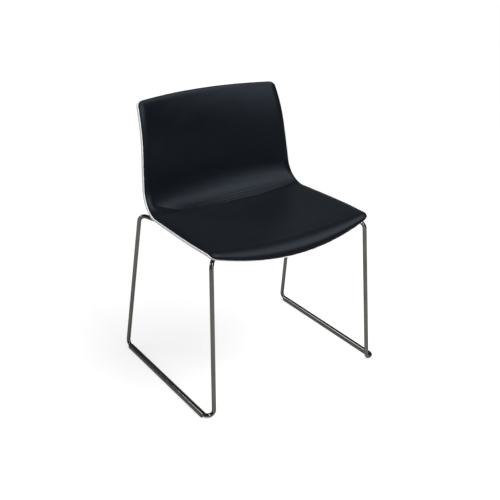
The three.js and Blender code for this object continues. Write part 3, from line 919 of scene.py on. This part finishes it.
def bent_path(corners):
    """Points and headings round a closed path with a bend at each corner."""
    points = [np.array(corner, float) for corner, _ in corners]
    path = []
    for k, (corner, radius) in enumerate(corners):
        point = points[k]
        arriving = unit(point - points[k - 1])
        leaving = unit(points[(k + 1) % len(points)] - point)
        turn = math.acos(np.clip(arriving @ leaving, -1, 1))
        centre = point + unit(leaving - arriving) * radius / math.cos(turn / 2)
        start = point - arriving * radius * math.tan(turn / 2)
        axis = unit(np.cross(arriving, leaving))
        steps = math.ceil(turn / BEND_STEP)
        if path:
            path += straight_run(path[-1][0], start, arriving)
        for n in range(steps + 1):
            angle = turn * n / steps
            path.append((centre + rotated(start - centre, axis, angle), rotated(arriving, axis, angle)))
    path += straight_run(path[-1][0], path[0][0], path[0][1])
    return path


def straight_run(start, end, heading):
    """Points and headings between two ends, without the ends."""
    count = max(int(np.linalg.norm(end - start) / RUN_STEP), 1)
    return [(start + (end - start) * k / count, heading) for k in range(1, count)]


def swept_loop(path, radius, sides):
    """Vertices and faces of a round section carried along a closed path without a net twist."""
    sideways = [unit(np.array([1.0, 0, 0]) - path[0][1] * path[0][1][0])]
    count = len(path)
    for k in range(1, count + 1):
        turn = Vector(path[k - 1][1]).rotation_difference(Vector(path[k % count][1]))
        sideways.append(np.array(turn @ Vector(sideways[-1])))
    closing = np.cross(sideways[-1], sideways[0]) @ path[0][1]
    twist = math.atan2(closing, sideways[-1] @ sideways[0])
    vertices, faces = [], []
    for k, (at, heading) in enumerate(path):
        out = rotated(sideways[k], heading, twist * k / count)
        other = np.cross(heading, out)
        for n in range(sides):
            angle = TURN * n / sides
            vertices.append(at + radius * (out * math.cos(angle) + other * math.sin(angle)))
    for k in range(count):
        for n in range(sides):
            a, b = k * sides + n, k * sides + (n + 1) % sides
            after = (k + 1) % count * sides
            faces.append((a, b, after + (n + 1) % sides, after + n))
    return np.array(vertices), faces


def both_sides(vertices, faces):
    """A right-hand mesh and its mirror image, by side."""
    turned = [face[::-1] for face in faces]
    return {"right": (vertices, faces), "left": (vertices * np.array([-1, 1, 1]), turned)}


def make_rods(material):
    vertices, faces = swept_loop(bent_path(LOOP_CORNERS), ROD_RADIUS, ROD_SIDES)
    vertices = vertices + np.array([0, shift_y, 0])
    for side, (points, sheets) in both_sides(vertices, faces).items():
        piece = new_object(f"rod_loop_{side}", points, sheets)
        finish_piece(piece, material, "chromed_rod", f"side_frame_{side}")


def bead_sections(rod_from, rod_to, plate_y, steps):
    """Middles and radii of a rippled bead that fills the gap between a plate's end and the rod."""
    start, finish = np.array(rod_from), np.array(rod_to)
    lean = math.hypot(*(finish - start)[:2]) / abs(finish[1] - start[1])
    middles, radii = [], []
    for k in range(steps + 1):
        t = k / steps
        y = plate_y + (2 * t - 1) * (PLATE_WIDTH / 2 - BEAD_END_GAP)
        rod = start + (finish - start) * (y - start[1]) / (finish[1] - start[1]) + [0, shift_y, 0]
        x = rod[0] - (ROD_RADIUS + PLATE_GAP) * lean
        plate = layer_point(station_at(y, x), x, PLATE_MIDDLE)
        middles.append(rod + unit(plate - rod) * (ROD_RADIUS + BEAD_STAND_OFF))
        fullness = BEAD_END_SHARE + (1 - BEAD_END_SHARE) * math.sin(math.pi * t) ** BEAD_BLUNTNESS
        ripple = 1 + BEAD_RIPPLE * math.sin(BEAD_RIPPLES * math.pi * t)
        radii.append(BEAD_RADIUS * fullness * ripple)
    return middles, radii


def weld_bead(name, rod_from, rod_to, plate_y, material, sides=12, steps=40):
    """Bead at a plate's right end and its mirror image at the left end."""
    middles, radii = bead_sections(rod_from, rod_to, plate_y, steps)
    circle = circle_round(unit(middles[-1] - middles[0]), [0.0, 0.0, 1.0], sides)
    vertices = np.concatenate([middle + circle * radius for middle, radius in zip(middles, radii)])
    ends = [tuple(range(sides))[::-1], tuple(range(steps * sides, (steps + 1) * sides))]
    faces = ends + tube_faces(steps + 1, sides)
    for side, (points, sheets) in both_sides(vertices, faces).items():
        finish_piece(new_object(f"{name}_{side}", points, sheets), material, "chromed_rod")


def make_welds(material):
    corners = [corner for corner, _ in LOOP_CORNERS]
    weld_bead("weld_front", corners[3], corners[4], FRONT_PLATE, material)
    weld_bead("weld_rear", corners[5], corners[6], REAR_PLATE, material)


def copy_of(node, name):
    """New object with a welded copy of a node's mesh."""
    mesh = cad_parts[node].data.copy()
    mesh.name = name
    edit = bmesh.new()
    edit.from_mesh(mesh)
    bmesh.ops.remove_doubles(edit, verts=edit.verts, dist=SAME_POINT)
    bmesh.ops.dissolve_limit(edit, angle_limit=SAME_PLANE, verts=edit.verts, edges=edit.edges)
    edit.to_mesh(mesh)
    edit.free()
    return put_in_scene(name, mesh)


def bevelled(piece, width, segments=2, angle=40):
    """The piece with its edges sharper than an angle in degrees rounded by a width in millimetres."""
    modifier = piece.modifiers.new("edge", "BEVEL")
    modifier.width = width * MM
    modifier.segments = segments
    modifier.limit_method = "ANGLE"
    modifier.angle_limit = math.radians(angle)
    modifier.harden_normals = False
    apply_modifiers(piece)
    piece.data.shade_smooth()
    smooth = piece.modifiers.new("normals", "WEIGHTED_NORMAL")
    smooth.keep_sharp = True
    return piece


def make_plates(material):
    for end in ("front", "rear"):
        piece = bevelled(copy_of(f"cross_plate_{end}", f"cross_strap_{end}"), PLATE_EDGE)
        finish_piece(piece, material, "chromed_rod", f"cross_plate_{end}")


def make_glides(material):
    for side in ("left", "right"):
        piece = bevelled(copy_of(f"runner_glide_{side}", f"glide_strip_{side}"), GLIDE_EDGE)
        finish_piece(piece, material, "glide_plastic", f"runner_glide_{side}")


def finish_fasteners():
    """Screws, washers and inserts keep their own meshes and get their metals."""
    zinc, brass = zinc_material(), brass_material()
    for name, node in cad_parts.items():
        kind = brass if name.startswith("thread_insert") else zinc
        if name.startswith(("thread_insert", "washer", "screw")):
            for item in node.material_slots:
                item.material = kind


# Stage, light and camera


def make_floor():
    half = FLOOR_HALF
    mesh = bpy.data.meshes.new("floor")
    corners = [(-half, -half, 0), (half, -half, 0), (half, half, 0), (-half, half, 0)]
    mesh.from_pydata(corners, [], [(0, 1, 2, 3)])
    mesh.materials.append(floor_material())
    floor = put_in_scene("floor", mesh)
    floor.location.z = -FLOOR_DROP


def soft_sun(name, source, spread, strength):
    """Broad even light from far away in one direction; its spread is in degrees."""
    light = bpy.data.lights.new(name, "SUN")
    light.angle = math.radians(spread)
    light.energy = strength
    lamp = put_in_scene(name, light)
    lamp.rotation_euler = (-Vector(source)).to_track_quat("-Z", "Y").to_euler()


def lit_panel(name, place, size, radiance):
    """Lit panel that faces the chair and that the camera doesn't see."""
    light = bpy.data.lights.new(name, "AREA")
    light.shape = "RECTANGLE"
    light.size, light.size_y = size
    light.energy = radiance * math.pi * size[0] * size[1]
    lamp = put_in_scene(name, light)
    lamp.location = place
    lamp.rotation_euler = (Vector(place) - Vector(PANELS_FACE)).to_track_quat("Z", "Y").to_euler()
    lamp.visible_camera = False


def make_room():
    """World that is brighter towards one side."""
    world = bpy.data.worlds.new("studio")
    bpy.context.scene.world = world
    world.use_nodes = True
    tree = world.node_tree
    background = tree.nodes["Background"]
    direction = tree.nodes.new("ShaderNodeTexCoord").outputs["Generated"]
    towards = tree.nodes.new("ShaderNodeVectorMath")
    towards.operation = "DOT_PRODUCT"
    towards.inputs[1].default_value = WALL_LIGHT
    tree.links.new(direction, towards.inputs[0])
    level = remap(tree, towards.outputs["Value"], WALL_DARK, WALL_BRIGHT, -1.0, 1.0)
    tree.links.new(level, background.inputs["Strength"])
    background.inputs["Color"].default_value = (*WALL_COLOUR, 1)


def make_light():
    make_room()
    for name, values in SUNS.items():
        soft_sun(name, *values)
    for name, values in PANELS.items():
        lit_panel(name, *values)


def make_camera():
    """Camera at the photograph's place, turned by azimuth and elevation and then by the roll."""
    data = bpy.data.cameras.new("camera")
    data.sensor_width = SENSOR
    data.lens = CAMERA_FOCUS * SENSOR / IMAGE_SIZE
    data.clip_start, data.clip_end = CAMERA_RANGE
    camera = put_in_scene("camera", data)
    sa, ca = math.sin(CAMERA_AZIMUTH), math.cos(CAMERA_AZIMUTH)
    se, ce = math.sin(CAMERA_ELEVATION), math.cos(CAMERA_ELEVATION)
    forward = Vector((-sa * ce, ca * ce, -se))
    right = Vector((ca, sa, 0))
    up = right.cross(forward)
    cr, sr = math.cos(CAMERA_ROLL), math.sin(CAMERA_ROLL)
    right, up = cr * right + sr * up, -sr * right + cr * up
    turn = Matrix((right, up, -forward)).transposed()
    place = Vector(CAMERA_PLACE) + Vector((0, shift_y, 0))
    camera.matrix_world = Matrix.Translation(place * MM) @ turn.to_4x4()
    bpy.context.scene.camera = camera


make_camera()
swell = swelling()
make_cover()
make_foam()
make_carrier()
make_shell()
chrome = chrome_material()
make_rods(chrome)
make_plates(chrome)
make_welds(chrome)
make_glides(glide_material())
finish_fasteners()
make_floor()
make_light()
bpy.context.scene.view_settings.view_transform = "Standard"
